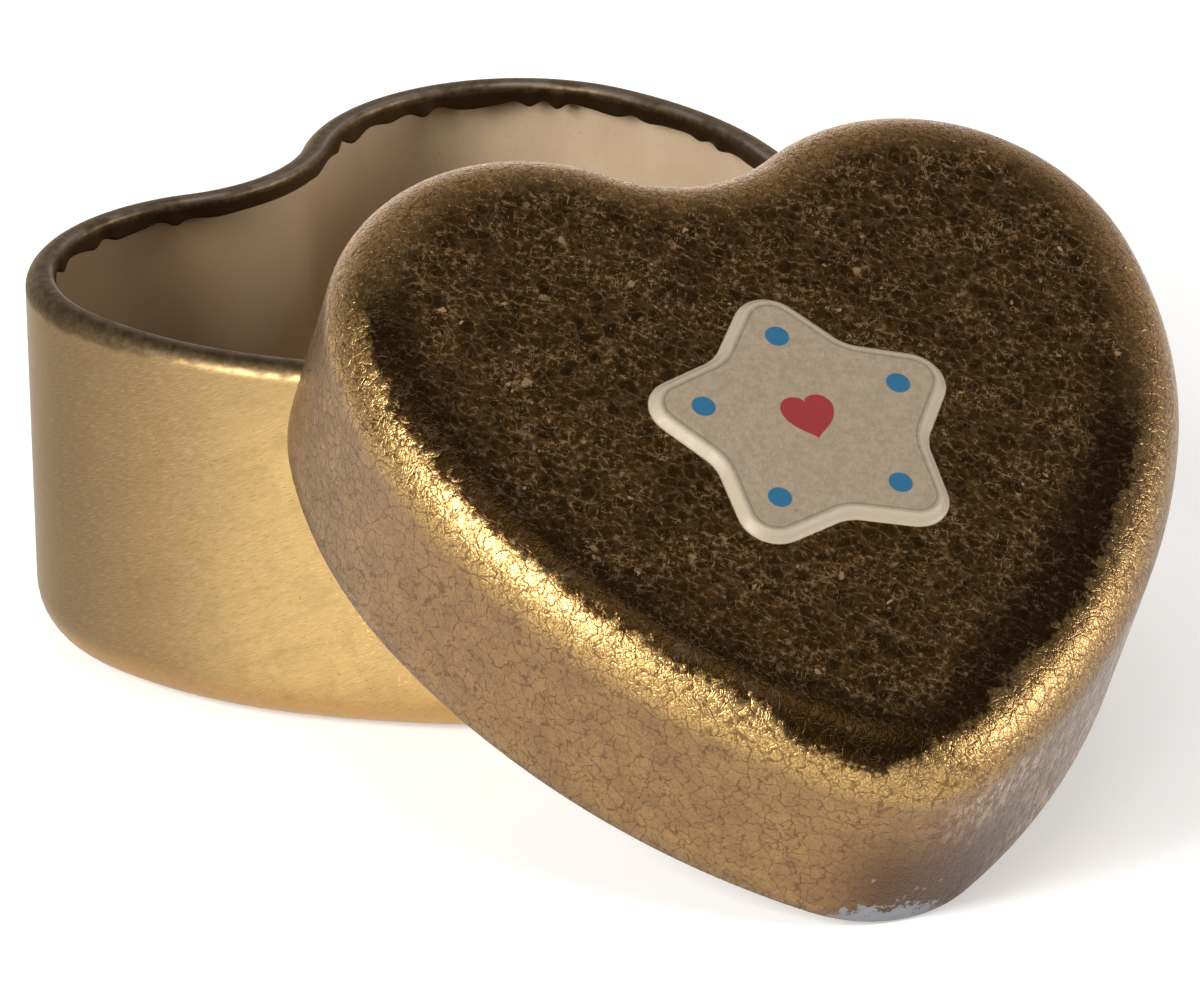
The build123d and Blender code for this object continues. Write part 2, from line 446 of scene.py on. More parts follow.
def separate_values(tree, vector):
    """The X, Y and Z outputs of a vector."""
    return add_node(tree, "ShaderNodeSeparateXYZ", {0: vector}).outputs


def attribute(tree, name, output="Fac"):
    """One of the piece's own attributes."""
    return add_node(tree, "ShaderNodeAttribute", attribute_name=name).outputs[output]


def mix_colour(tree, factor, first, second):
    """A colour between two others."""
    first, second = ((*colour, 1) if isinstance(colour, tuple) else colour for colour in (first, second))
    return add_node(tree, "ShaderNodeMix", {0: factor, 6: first, 7: second}, data_type="RGBA").outputs[2]


def layered(tree, colour, *layers):
    """A colour with others laid over it in turn, each given with its mask."""
    for mask, tint in layers:
        colour = mix_colour(tree, mask, colour, tint)
    return colour


def smooth(tree, value, low, high, start=0.0, end=1.0):
    """A smooth step from start to end as a value goes from low to high."""
    inputs = {"Value": value, "From Min": low, "From Max": high, "To Min": start, "To Max": end}
    return add_node(tree, "ShaderNodeMapRange", inputs, interpolation_type="SMOOTHSTEP").outputs["Result"]


def noise(tree, vector, scale, detail=2.0, roughness=0.5):
    """Noise between 0 and 1."""
    inputs = {"Vector": vector, "Scale": scale, "Detail": detail, "Roughness": roughness}
    return add_node(tree, "ShaderNodeTexNoise", inputs).outputs["Fac"]


def scaled(tree, vector, scale):
    """A vector with its X, Y and Z multiplied by three values."""
    return add_node(tree, "ShaderNodeVectorMath", {0: vector, 1: scale}, operation="MULTIPLY").outputs[0]


def effect_group(name, inputs, output):
    """A shader node group with named float or vector inputs and one float output."""
    tree = bpy.data.node_groups.new(name, "ShaderNodeTree")
    for label, value in inputs.items():
        kind = "NodeSocketVector" if value is None else "NodeSocketFloat"
        socket = tree.interface.new_socket(label, in_out="INPUT", socket_type=kind)
        if value is not None:
            socket.default_value = value
    tree.interface.new_socket(output, in_out="OUTPUT", socket_type="NodeSocketFloat")
    return tree, add_node(tree, "NodeGroupInput").outputs


# the slanted micro grain that rolling leaves in tinplate
grain_group, given = effect_group("rolled_grain", {"Run": 0.0, "Height": 0.0, "Slant": 22.0,
                                                   "Length": 1.4, "Width": 0.09}, "Grain")
slant = math_node(grain_group, "RADIANS", given["Slant"])
cosine = math_node(grain_group, "COSINE", slant)
sine = math_node(grain_group, "SINE", slant)
with_grain = plus(grain_group, times(grain_group, given["Run"], cosine),
                  times(grain_group, given["Height"], sine))
cross_grain = minus(grain_group, times(grain_group, given["Height"], cosine),
                    times(grain_group, given["Run"], sine))
sheet_place = add_node(grain_group, "ShaderNodeCombineXYZ", {
    "X": math_node(grain_group, "DIVIDE", with_grain, given["Length"]),
    "Y": math_node(grain_group, "DIVIDE", cross_grain, given["Width"])}).outputs[0]
add_node(grain_group, "NodeGroupOutput", {"Grain": noise(grain_group, sheet_place, 1.0, 2.0, 0.6)})

# small scattered specks, such as dust or pin holes in the lacquer
speck_group, given = effect_group("scattered_specks", {"Place": None, "Spacing": 1.5,
                                                       "Size": 0.06, "Share": 0.4}, "Mask")
speck_scale = math_node(speck_group, "DIVIDE", 1.0, given["Spacing"])
speck_place = add_node(speck_group, "ShaderNodeVectorMath", {0: given["Place"], "Scale": speck_scale},
                       operation="SCALE").outputs[0]
speck_cells = add_node(speck_group, "ShaderNodeTexVoronoi", {"Vector": speck_place, "Scale": 1.0}).outputs
speck_draw = separate_values(speck_group, speck_cells["Color"])[0]
chosen = math_node(speck_group, "LESS_THAN", speck_draw, given["Share"])
radius = math_node(speck_group, "DIVIDE", given["Size"], given["Spacing"])
uneven = times(speck_group, noise(speck_group, speck_place, 9.0), 0.6)
radius_here = times(speck_group, radius, plus(speck_group, uneven, 0.7))
from_middle = math_node(speck_group, "DIVIDE", speck_cells["Distance"], radius_here)
speck = minus(speck_group, 1.0, smooth(speck_group, from_middle, 0.7, 1.1))
add_node(speck_group, "NodeGroupOutput", {"Mask": times(speck_group, speck, chosen)})


def rolled_grain(tree, run, height, slant, length, width):
    """The rolled grain, with its slant in degrees and its strokes' length and width."""
    inputs = {"Run": run, "Height": height, "Slant": slant, "Length": length, "Width": width}
    return add_node(tree, "ShaderNodeGroup", inputs, node_tree=grain_group).outputs["Grain"]


def scattered(tree, place, spacing, size, share=0.4):
    """Scattered specks, with the share of places that hold one."""
    inputs = {"Place": place, "Spacing": spacing, "Size": size, "Share": share}
    return add_node(tree, "ShaderNodeGroup", inputs, node_tree=speck_group).outputs["Mask"]


WALL_GOLD = (0.615, 0.402, 0.157)
# an oranger tint at the foot, a painted reflection of the white floor in the bottom round
WALL_FOOT_REFLECTION = (0.43, 0.245, 0.085)
# painted shade on the gold, on the tin's left and below its rim
WALL_PAINTED_SHADE = (0.168, 0.110, 0.053)
WALL_SCRATCH = (0.20, 0.13, 0.05)
WALL_PALE = (0.90, 0.76, 0.50)
RIM_BROWN = (0.070, 0.039, 0.015)
RIM_RUBBED = (0.17, 0.13, 0.08)
HEM_BROWN = (0.045, 0.026, 0.010)
# a painted glint along the rim's inner fold
FOLD_GLINT_GREY = (0.36, 0.30, 0.265)
INSIDE_BEIGE = (0.53, 0.405, 0.268)
INSIDE_SHADE = (0.45, 0.330, 0.205)
INSIDE_PAINTED_SHADE = (0.225, 0.137, 0.066)
INSIDE_SPECK = (0.20, 0.15, 0.09)
BARE_TIN = (0.80, 0.78, 0.76)
EDGE_TINT = (1.0, 0.90, 0.78, 1)
SHADE_ACROSS = (0.66, -0.75, 0.03)
# heights in millimetres: the foot's painted floor reflection, the painted shade below the rim, and the rim's
# brown line
FOOT_TOP, FOOT_BOTTOM = 3.4, 2.0
SHOULDER_SHADE_FROM, SHOULDER_SHADE_TO = 18.0, 24.5
RIM_LINE_LOW, RIM_LINE_HIGH = 25.05, 25.50

# places in millimetres; painted shade runs across the tin, from its dark left to its bright right
box_lacquer, tree = new_tree("box_lacquer_gold")
place = scaled(tree, add_node(tree, "ShaderNodeTexCoord").outputs["Object"], (1000, 1000, 1000))
height_mm = separate_values(tree, place)[2]
run_mm = times(tree, attribute(tree, "run"), 1000.0)
zone = attribute(tree, "zone")
inside = smooth(tree, zone, 1.2, 1.8)
hem = smooth(tree, attribute(tree, "hem"), 0.0, 0.35)
shade_across = plus(tree, dot_product(tree, place, SHADE_ACROSS), times(tree, noise(tree, place, 0.11, 2.0), 5.0))

# the brown of the rim, partly painted shade, starts at an uneven line, lower where shade is painted on the
# left
rim_line = plus(tree, height_mm, noise(tree, place, 0.8, 4.0, 0.6))
rim_line = plus(tree, rim_line, smooth(tree, shade_across, -14.0, -26.0, 0.0, 0.5))
rim_start = smooth(tree, rim_line, RIM_LINE_LOW, RIM_LINE_HIGH, 0.0, 0.9)
on_rim = larger(tree, smooth(tree, zone, 0.0, 1.0), rim_start)

# gold lacquer outside: painted shade on the left and below the rim, a painted floor reflection at the foot,
# dull patches, fine grain, and scratches along the grain
grain = rolled_grain(tree, run_mm, height_mm, slant=24.0, length=0.8, width=0.065)
scratch = rolled_grain(tree, run_mm, height_mm, slant=29.0, length=0.60, width=0.075)
streak = rolled_grain(tree, run_mm, height_mm, slant=26.0, length=9.0, width=0.9)
dust = scattered(tree, place, spacing=1.3, size=0.05)
dashes = scattered(tree, place, spacing=0.9, size=0.10, share=0.40)
stain = smooth(tree, noise(tree, place, 0.42, 5.0, 0.6), 0.48, 0.66, 0.0, 0.16)
gold = layered(
    tree, WALL_PAINTED_SHADE,
    # painted shade, darker towards the tin's left
    (smooth(tree, shade_across, -29.0, -5.0), WALL_GOLD),
    # painted reflection of the floor in the bottom round
    (smooth(tree, height_mm, FOOT_TOP, FOOT_BOTTOM, 0.0, 0.55), WALL_FOOT_REFLECTION),
    # painted shade on the wall's top, below the rim
    (smooth(tree, height_mm, SHOULDER_SHADE_FROM, SHOULDER_SHADE_TO, 0.0, 0.32), WALL_PAINTED_SHADE),
    (smooth(tree, grain, 0.45, 0.75, 0.0, 0.13), WALL_PALE),
    (smooth(tree, grain, 0.52, 0.28, 0.0, 0.28), WALL_SCRATCH),
    (stain, WALL_SCRATCH),
    (times(tree, dashes, 0.5), WALL_SCRATCH),
    (smooth(tree, scratch, 0.62, 0.68, 0.0, 0.6), WALL_SCRATCH),
    (smooth(tree, streak, 0.50, 0.72, 0.0, 0.16), WALL_SCRATCH),
    (times(tree, dust, 0.25), WALL_PALE))

# brown rim, partly painted shade, rubbed in places, with a painted glint along its inner fold and a few bare
# spots
rubbed = smooth(tree, noise(tree, place, 1.6, 5.0, 0.75), 0.35, 0.70, 0.0, 0.7)
glint = smooth(tree, noise(tree, place, 0.35, 2.0), 0.35, 0.55, 0.15, 0.8)
rim = layered(
    tree, RIM_BROWN,
    (rubbed, RIM_RUBBED),
    (hem, HEM_BROWN),
    (times(tree, attribute(tree, "fold"), glint), FOLD_GLINT_GREY),
    (scattered(tree, place, spacing=3.4, size=0.22, share=0.22), BARE_TIN))

# beige lacquer inside, with painted shade on its left side, and faintly speckled
beige_cloud = smooth(tree, noise(tree, place, 0.12, 3.0), 0.3, 0.7)
beige_grain = smooth(tree, noise(tree, place, 5.5, 3.0, 0.7), 0.54, 0.70, 0.0, 0.25)
beige = layered(
    tree, INSIDE_BEIGE,
    (beige_cloud, INSIDE_SHADE),
    (smooth(tree, shade_across, 1.0, -22.0, 0.0, 0.95), INSIDE_PAINTED_SHADE),
    (beige_grain, INSIDE_SPECK),
    (times(tree, dust, 0.7), INSIDE_SPECK))

colour = mix_colour(tree, inside, mix_colour(tree, on_rim, gold, rim), beige)
metal = minus(tree, 0.94, times(tree, inside, 0.86))
rough = plus(tree, smooth(tree, grain, 0.2, 0.8, 0.31, 0.43), times(tree, on_rim, 0.15))
rough = plus(tree, rough, times(tree, inside, 0.12))
relief = minus(tree, times(tree, grain, 0.0038), smooth(tree, scratch, 0.62, 0.68, 0.0, 0.005))
bump = add_node(tree, "ShaderNodeBump", {"Strength": 1.0, "Distance": MM, "Height": relief})
surface = add_node(tree, "ShaderNodeBsdfPrincipled", {
    "Base Color": colour, "Metallic": metal, "Roughness": rough, "Specular Tint": EDGE_TINT,
    "Normal": bump.outputs["Normal"]})
add_node(tree, "ShaderNodeOutputMaterial", {"Surface": surface.outputs[0]})

cup_tree, cup_sockets = drawn_cup_tree()
box_shell = grown("box_shell", cup_tree, cup_sockets, {
    "Outline": outline_chain, "Section": section_chain, "Pucker depth": PUCKER_DEPTH * MM,
    "Pucker pitch": PUCKER_PITCH * MM, "Lacquer": box_lacquer})
bpy.data.objects.remove(outline_chain)
bpy.data.objects.remove(section_chain)

WELD_GAP = 1e-6


def close_shell(mesh, weld=False):
    """Turns a closed mesh's faces outward and shades them smooth, its seam and floors joined if asked."""
    shape = bmesh.new()
    shape.from_mesh(mesh)
    if weld:
        bmesh.ops.remove_doubles(shape, verts=shape.verts, dist=WELD_GAP)
        open_edges = [edge for edge in shape.edges if edge.is_boundary]
        bmesh.ops.holes_fill(shape, edges=open_edges, sides=0)
    bmesh.ops.recalc_face_normals(shape, faces=shape.faces)
    for face in shape.faces:
        face.smooth = True
    shape.to_mesh(mesh)
    shape.free()


close_shell(box_shell.data, weld=True)
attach(box_shell, "box")
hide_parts("box_body")


# Lid
# A second drawn cap of the same sheet, with a star pressed up from its top. Dark crackled brown
# lacquer over gold, partly painted shade on the top, with lighter gold along its corner that is partly rubbed
# and partly painted highlight; the star is cream enamel with painted dots, its bevel paler as a painted
# highlight.
LID_ORIGIN = Vector((-11.575, -30.817, 13.311))
LID_TURN = -28.5
LID_LEAN = 29.90919
LID_ROLL = 3.413724
LID_GROW = 0.45
LID_STEP = OUTLINE_STEP * 1.15
LID_HEIGHT = 15.5
LID_CORNER = 3.8
LID_EDGE_ROUND = 0.06
STAR_POINTS = 5
STAR_RADIUS = 11.8
STAR_WAIST = 0.63
STAR_TIP_ROUND = 2.3
STAR_WAIST_ROUND = 3.0
STAR_RISE = 0.55
STAR_FORWARD = 0.8
STAR_CORNER_STEPS = 25


def unit(vector):
    """A vector made one long."""
    return vector / np.linalg.norm(vector)


def star_outline(grow):
    """Polar outline of the rounded star, its edge moved outward by grow: bearings and radii."""
    corners = []
    for corner in range(2 * STAR_POINTS):
        bearing = math.radians(90 + corner * 180 / STAR_POINTS)
        reach = STAR_RADIUS * (1 if corner % 2 == 0 else STAR_WAIST)
        corners.append(np.array((reach * math.cos(bearing), reach * math.sin(bearing))))
    points, normals = [], []
    for corner, here in enumerate(corners):
        radius, sign = (STAR_TIP_ROUND, 1) if corner % 2 == 0 else (STAR_WAIST_ROUND, -1)
        back = unit(corners[corner - 1] - here)
        ahead = unit(corners[(corner + 1) % len(corners)] - here)
        half_angle = math.acos(float(back @ ahead)) / 2
        centre = here + (back + ahead) / np.linalg.norm(back + ahead) * radius / math.sin(half_angle)
        start = here + back * radius / math.tan(half_angle) - centre
        end = here + ahead * radius / math.tan(half_angle) - centre
        for share in np.linspace(0, 1, STAR_CORNER_STEPS):
            spoke = unit(start * (1 - share) + end * share)
            points.append(centre + spoke * radius)
            normals.append(spoke * sign)
    points, normals = np.array(points), np.array(normals)
    following = np.roll(points, -1, 0)
    next_normals = np.roll(normals, -1, 0)
    dense = [points * (1 - share) + following * share + (normals * (1 - share) + next_normals * share) * grow
             for share in (0, 0.25, 0.5, 0.75)]
    dense = np.stack(dense, 1).reshape(-1, 2)
    bearings = np.arctan2(dense[:, 1], dense[:, 0])
    order = np.argsort(bearings)
    return bearings[order], np.linalg.norm(dense, axis=1)[order]


lid_outline, lid_outward, _ = heart(LID_STEP)
lid_outline = lid_outline + lid_outward * LID_GROW
star_centre = np.array((0, STAR_FORWARD))
flat_edge = lid_outline - lid_outward * LID_CORNER - star_centre
bearings = np.arctan2(flat_edge[:, 1], flat_edge[:, 0])
flat_reach = np.linalg.norm(flat_edge, axis=1)
spokes = np.stack([np.cos(bearings), np.sin(bearings)], 1)

# each ring: points, height, and distances from the star's edge and from the flat top's edge, which
# the lacquer reads; the first three values stand for places well away from those edges
OFF_STAR = 9
ON_TOP = 9
OFF_TOP = -20
SPOKE_SLANT = 0.85
rings = []


def star_reach(grow):
    """Radius of the star's outline, moved outward by grow, along each of the lid's spokes."""
    angles, radii = star_outline(grow)
    return np.interp(bearings, angles, radii, period=2 * math.pi)


def from_star(radii, height, star_distance):
    """Adds a flat ring placed by its distances from the star's centre."""
    points = star_centre + spokes * np.asarray(radii)[:, None]
    rings.append((points, height, star_distance, (flat_reach - radii) * SPOKE_SLANT))


def in_from_edge(inset, height, corner_distance):
    """Adds a ring that follows the lid's outline, moved inward by an inset."""
    rings.append((lid_outline - lid_outward * inset, height, OFF_STAR, corner_distance))


# outside: the star's top, its bevel, the flat top round it, the corner and the skirt
STAR_MIDDLE = -11.0
STAR_TOP_INSET = -2.2
STAR_TOP_FALL = 9
STAR_FOOT = 0.3
BEVEL_START = -0.62
BEVEL_RUN = 0.72
plateau = LID_HEIGHT + STAR_RISE
skirt_top = LID_HEIGHT - LID_CORNER
for share in (0.03, 0.2, 0.4, 0.6, 0.75, 0.88):
    from_star(star_reach(STAR_TOP_INSET) * share, plateau, STAR_TOP_INSET - STAR_TOP_FALL * (1 - share))
for distance in (STAR_TOP_INSET, -1.8, -1.5, -1.2, -0.95, -0.75):
    from_star(star_reach(distance), plateau, distance)
for share in np.linspace(0, 1, 12):
    rise = 0.5 + 0.5 * math.cos(math.pi * share)
    distance = BEVEL_START + share * BEVEL_RUN
    from_star(star_reach(distance), LID_HEIGHT + STAR_RISE * rise, distance)
base_reach = star_reach(STAR_FOOT)
for share in np.linspace(0, 1, 14):
    from_star(base_reach * (1 - share) + flat_reach * share, LID_HEIGHT, STAR_FOOT + share * 4)
for bearing in np.linspace(90, 0, 15)[1:]:
    turn_here = math.radians(bearing)
    inset = LID_CORNER * (1 - math.cos(turn_here))
    height = LID_HEIGHT - LID_CORNER * (1 - math.sin(turn_here))
    in_from_edge(inset, height, LID_CORNER * (turn_here - math.pi / 2))
for height in np.linspace(skirt_top, LID_EDGE_ROUND, 12)[1:]:
    in_from_edge(0, height, height - LID_HEIGHT + LID_CORNER * (1 - math.pi / 2))

# the skirt's edge, from whose lowest ring on the beige inside begins
first_inner = len(rings) + 2
for bearing in (45, 90, 135):
    turn_here = math.radians(bearing)
    in_from_edge(SHEET / 2 * (1 - math.cos(turn_here)), LID_EDGE_ROUND * (1 - math.sin(turn_here)), OFF_TOP)

# inside: the skirt, the corner, the flat top and the hollow behind the star
for height in np.linspace(LID_EDGE_ROUND, skirt_top, 7):
    in_from_edge(SHEET, height, OFF_TOP)
inner_corner = LID_CORNER - SHEET
for bearing in np.linspace(0, 90, 9)[1:]:
    turn_here = math.radians(bearing)
    inset = LID_CORNER - inner_corner * math.cos(turn_here)
    in_from_edge(inset, skirt_top + inner_corner * math.sin(turn_here), OFF_TOP)
hollow_reach = star_reach(-0.1)
for share in (0.7, 0.35, 0):
    from_star(hollow_reach * (1 - share) + flat_reach * share, LID_HEIGHT - SHEET, OFF_STAR)
for distance, rise in ((-0.2, 0.14), (-0.35, 0.42), (-0.5, 0.53), (BEVEL_START, STAR_RISE)):
    from_star(star_reach(distance), LID_HEIGHT - SHEET + rise, OFF_STAR)
for share in (0.5, 0.04):
    from_star(star_reach(STAR_TOP_INSET) * share, plateau - SHEET, OFF_STAR)

# the rings joined into one closed shell, with a hub in the middle of the star's top and of its hollow
across = len(lid_outline)
hubs = [(0, STAR_FORWARD, plateau), (0, STAR_FORWARD, plateau - SHEET)]
stacked = [np.column_stack([points, np.full(across, height)]) for points, height, *_ in rings]
lid_points = np.vstack([*stacked, hubs])
low_hub = len(lid_points) - 1
top_hub = low_hub - 1
last_ring = (len(rings) - 1) * across
faces = []
for ring in range(len(rings) - 1):
    here, below = ring * across, (ring + 1) * across
    for spoke in range(across):
        ahead = (spoke + 1) % across
        faces.append((here + spoke, below + spoke, below + ahead, here + ahead))
for spoke in range(across):
    ahead = (spoke + 1) % across
    faces.append((top_hub, spoke, ahead))
    faces.append((low_hub, last_ring + ahead, last_ring + spoke))

lid_turned = Matrix.Identity(4)
for angle, axis in ((LID_TURN, "Z"), (LID_LEAN, "X"), (LID_ROLL, "Y")):
    lid_turned = lid_turned @ Matrix.Rotation(math.radians(angle), 4, axis)
lid_matrix = Matrix.Translation(LID_ORIGIN) @ lid_turned
lid_mesh = bpy.data.meshes.new("lid_shell")
lid_mesh.from_pydata([lid_matrix @ Vector(point) * MM for point in lid_points], [], faces)
close_shell(lid_mesh)


def by_point(values, top_value, low_value):
    """One value for each of the lid's points, from the values of its rings and of its two hubs."""
    return np.append(np.concatenate([np.zeros(across) + value for value in values]), (top_value, low_value))


keep_values(lid_mesh, {
    "star_distance": by_point([ring[2] for ring in rings], STAR_MIDDLE, OFF_STAR),
    "corner_distance": by_point([ring[3] for ring in rings], ON_TOP, ON_TOP),
    "inner": by_point([number >= first_inner for number in range(len(rings))], 0, 1),
})
lid_place_values = lid_mesh.attributes.new("lid_place", "FLOAT_VECTOR", "POINT")
lid_place_values.data.foreach_set("vector", lid_points.astype(np.float32).ravel())
lid_shell = bpy.data.objects.new("lid_shell", lid_mesh)
scene.collection.objects.link(lid_shell)

TOP_BROWN = (0.128, 0.060, 0.0150)
TOP_DARK = (0.078, 0.036, 0.0072)
TOP_CELL = (0.030, 0.0135, 0.0022)
TOP_FILAMENT = (0.175, 0.102, 0.046)
TOP_FLECK = (0.30, 0.192, 0.096)
CORNER_GOLD = (0.56, 0.354, 0.128)
CORNER_BROWN = (0.58, 0.335, 0.130)
SKIRT_GOLD = (0.350, 0.212, 0.085)
SKIRT_DULL = (0.278, 0.167, 0.071)
SKIRT_CRACK = (0.12, 0.062, 0.026)
TIP_RUST = (0.098, 0.050, 0.025)
SCUFF = (0.58, 0.430, 0.310)
CHIP_TIN = (0.245, 0.255, 0.275)
ENAMEL_CREAM = (0.297, 0.231, 0.158)
ENAMEL_WORN = (0.240, 0.182, 0.121)
ENAMEL_FLECK_AND_HIGHLIGHT = (0.385, 0.312, 0.226)
ENAMEL_LINE = (0.10, 0.09, 0.08)
ENAMEL_BLUE = (0.012, 0.098, 0.185)
ENAMEL_RED = (0.235, 0.017, 0.023)
CELL_SCALE = 1.0
CELL_WARP = (1.1, 1.1, 1.1)
CRAZING_SCALE = 3.7
FLAKE_STROKES = {"slant": 62.0, "length": 0.75, "width": 0.17}
NEAR_TO_FAR = (0.335, 0.942, 0)
TIP_PATCH_LEFT = 5.6
SCUFF_STRETCH = (2.3, 2.3, 0.9)
CHIP_LEFT = 0.6
RUST_RIGHT = 2.0
PAINT_BLUR = 0.06
# where marks end, in millimetres: the dark top from its own edge, the rest up from the skirt's edge
CRISP_TOP_END = (-2.85, -1.95)
FADED_TOP_END = (-1.5, 1.2)
RUBBED_AND_HIGHLIGHT_BAND = (LID_HEIGHT - 4.6, LID_HEIGHT - 2.6)
SCUFF_TOP = (LID_HEIGHT - 2.6, LID_HEIGHT - 5.0)
RUST_TOP = (13.0, 5.5)
CHIP_TOP = (4.75, 4.55)
LOOSE_TOP = (7.4, 6.6)
DOT_REACH = 6.9
DOT_RADIUS = 0.78
HEART_SIZE = 1.75
HEART_STRETCH = 1.15
HEART_SAG = 0.85

lid_lacquer, tree = new_tree("lid_lacquer_crackled")
lid_place = attribute(tree, "lid_place", "Vector")
local_x, local_y, local_z = separate_values(tree, lid_place)
distance = attribute(tree, "star_distance")
corner_distance = attribute(tree, "corner_distance")
inside = attribute(tree, "inner")


def edge_distance(tree, place, scale):
    """Distance to the nearest edge between random cells."""
    inputs = {"Vector": place, "Scale": scale}
    return add_node(tree, "ShaderNodeTexVoronoi", inputs, feature="DISTANCE_TO_EDGE").outputs["Distance"]


# the crackle: cells with bent edges, finer crazing inside them, and slow noise that breaks both up
warp = add_node(tree, "ShaderNodeTexNoise", {"Vector": lid_place, "Scale": 1.1, "Detail": 1.5})
warped = add_node(tree, "ShaderNodeVectorMath", {0: warp.outputs["Color"], 1: CELL_WARP, 2: lid_place},
                  operation="MULTIPLY_ADD").outputs[0]
cells = add_node(tree, "ShaderNodeTexVoronoi", {"Vector": warped, "Scale": CELL_SCALE}).outputs["Color"]
cell_tone = separate_values(tree, cells)
splits = edge_distance(tree, warped, CELL_SCALE)
crazing = edge_distance(tree, warped, CRAZING_SCALE)
cluster = noise(tree, lid_place, 0.32, 2.0)
broken = noise(tree, lid_place, 2.4, 3.0, 0.6)
mottle = noise(tree, lid_place, 1.9, 4.0, 0.65)

# marks on the top: bright strokes along split edges, dark round cells and blisters, and pale flecks
stroke = larger(tree, smooth(tree, splits, 0.08, 0.02, 0.0, 0.8), smooth(tree, crazing, 0.11, 0.03))
stroke_here = smooth(tree, plus(tree, broken, times(tree, cluster, 0.35)), 0.66, 0.86)
blister = scattered(tree, lid_place, spacing=1.8, size=0.66, share=0.60)
filament = times(tree, times(tree, stroke, stroke_here), minus(tree, 1.0, blister))
round_cell = times(tree, smooth(tree, splits, 0.05, 0.20), smooth(tree, cell_tone[0], 0.48, 0.56, 0.0, 0.45))
round_cell = larger(tree, round_cell, times(tree, blister, 0.70))
web = times(tree, smooth(tree, splits, 0.12, 0.01, 0.0, 0.70), smooth(tree, broken, 0.32, 0.55, 0.25, 1.0))
fleck = scattered(tree, warped, spacing=0.8, size=0.18, share=0.24)
flake = scattered(tree, warped, spacing=1.5, size=0.34, share=0.20)
shaving = rolled_grain(tree, local_x, local_y, **FLAKE_STROKES)
fleck = larger(tree, fleck, times(tree, flake, 0.8))
fleck = larger(tree, fleck, smooth(tree, shaving, 0.62, 0.69, 0.0, 0.75))
fleck = times(tree, fleck, smooth(tree, cluster, 0.38, 0.62))

# where the dark top ends: a crisp, ragged edge on the near side, pushed out at the tip and drawn in
# on the right, and a faded edge on the far side
across_top = plus(tree, dot_product(tree, lid_place, NEAR_TO_FAR), times(tree, mottle, 6.0))
near_side = smooth(tree, across_top, 16.0, 6.0)
cell_step = times(tree, minus(tree, cell_tone[1], 0.5), 0.8)
ragged = plus(tree, cell_step, times(tree, minus(tree, mottle, 0.5), 3.2))
right_way = smooth(tree, local_x, -2.0, 5.0, 0.0, 1.7)
from_patch = math_node(tree, "ABSOLUTE", plus(tree, local_x, TIP_PATCH_LEFT))
tip_patch = times(tree, smooth(tree, from_patch, 5.0, 1.5, 0.0, 1.3), smooth(tree, local_y, -11.0, -14.0))
crisp_edge = plus(tree, tip_patch, minus(tree, plus(tree, corner_distance, ragged), right_way))
crisp_edge = smooth(tree, crisp_edge, *CRISP_TOP_END)
faded_edge = smooth(tree, plus(tree, corner_distance, times(tree, ragged, 0.7)), *FADED_TOP_END)
top_mask = plus(tree, faded_edge, times(tree, near_side, minus(tree, crisp_edge, faded_edge)))

# dark brown top, partly the lacquer's colour and partly painted shade
# painted shade along the near edge of the dark top, next to the corner
edge_painted_shade = smooth(tree, minus(tree, corner_distance, right_way), 2.2, -0.9, 0.0, 0.92)
top_colour = layered(
    tree, TOP_DARK,
    (smooth(tree, mottle, 0.36, 0.66), TOP_BROWN),
    (times(tree, round_cell, 0.8), TOP_CELL),
    (larger(tree, times(tree, filament, 0.75), web), TOP_FILAMENT),
    (times(tree, fleck, 0.75), TOP_FLECK),
    (times(tree, near_side, edge_painted_shade), TOP_CELL))

# gold skirt with thin dark cracks, and the corner above it lighter gold, partly rubbed and partly painted
# highlight
fine_crack = smooth(tree, crazing, 0.12, 0.03, 0.0, 0.5)
crack = larger(tree, smooth(tree, splits, 0.065, 0.020, 0.0, 0.9), fine_crack)
crack = times(tree, crack, smooth(tree, broken, 0.34, 0.56, 0.25, 0.9))
corner_colour = layered(
    tree, CORNER_BROWN,
    (near_side, CORNER_GOLD),
    (smooth(tree, crazing, 0.14, 0.03, 0.0, 0.50), SKIRT_CRACK))
skirt_colour = layered(
    tree, SKIRT_GOLD,
    (smooth(tree, noise(tree, lid_place, 0.45, 3.0), 0.3, 0.7), SKIRT_DULL),
    (smooth(tree, local_z, *RUBBED_AND_HIGHLIGHT_BAND), corner_colour),
    (smooth(tree, cell_tone[2], 0.0, 1.0, 0.0, 0.10), SKIRT_CRACK),
    (smooth(tree, mottle, 0.30, 0.75, 0.0, 0.12), SKIRT_CRACK),
    (crack, SKIRT_CRACK))
lacquer = mix_colour(tree, top_mask, skirt_colour, top_colour)

# the right side, darker and with pale upright scuffs in patches
right_side = smooth(tree, plus(tree, local_x, times(tree, local_y, -0.25)), 4.5, 11.0, 0.0, 0.9)
right_side = times(tree, right_side, smooth(tree, local_y, 8.0, -4.0, 0.35, 1.0))
side_dark = times(tree, right_side, minus(tree, 0.50, times(tree, top_mask, 0.50)))
streaks = noise(tree, scaled(tree, lid_place, SCUFF_STRETCH), 1.0, 4.0, 0.65)
scuff_patch = smooth(tree, noise(tree, lid_place, 0.20, 2.0), 0.42, 0.55, 0.5, 1.0)
scuffed = times(tree, smooth(tree, streaks, 0.49, 0.54), times(tree, right_side, scuff_patch))
scuffed = times(tree, scuffed, smooth(tree, plus(tree, local_z, ragged), *SCUFF_TOP))
scuff_crack = times(tree, scuffed, times(tree, crack, 0.8))
lacquer = layered(tree, lacquer, (side_dark, TIP_RUST), (scuffed, SCUFF), (scuff_crack, SKIRT_CRACK))

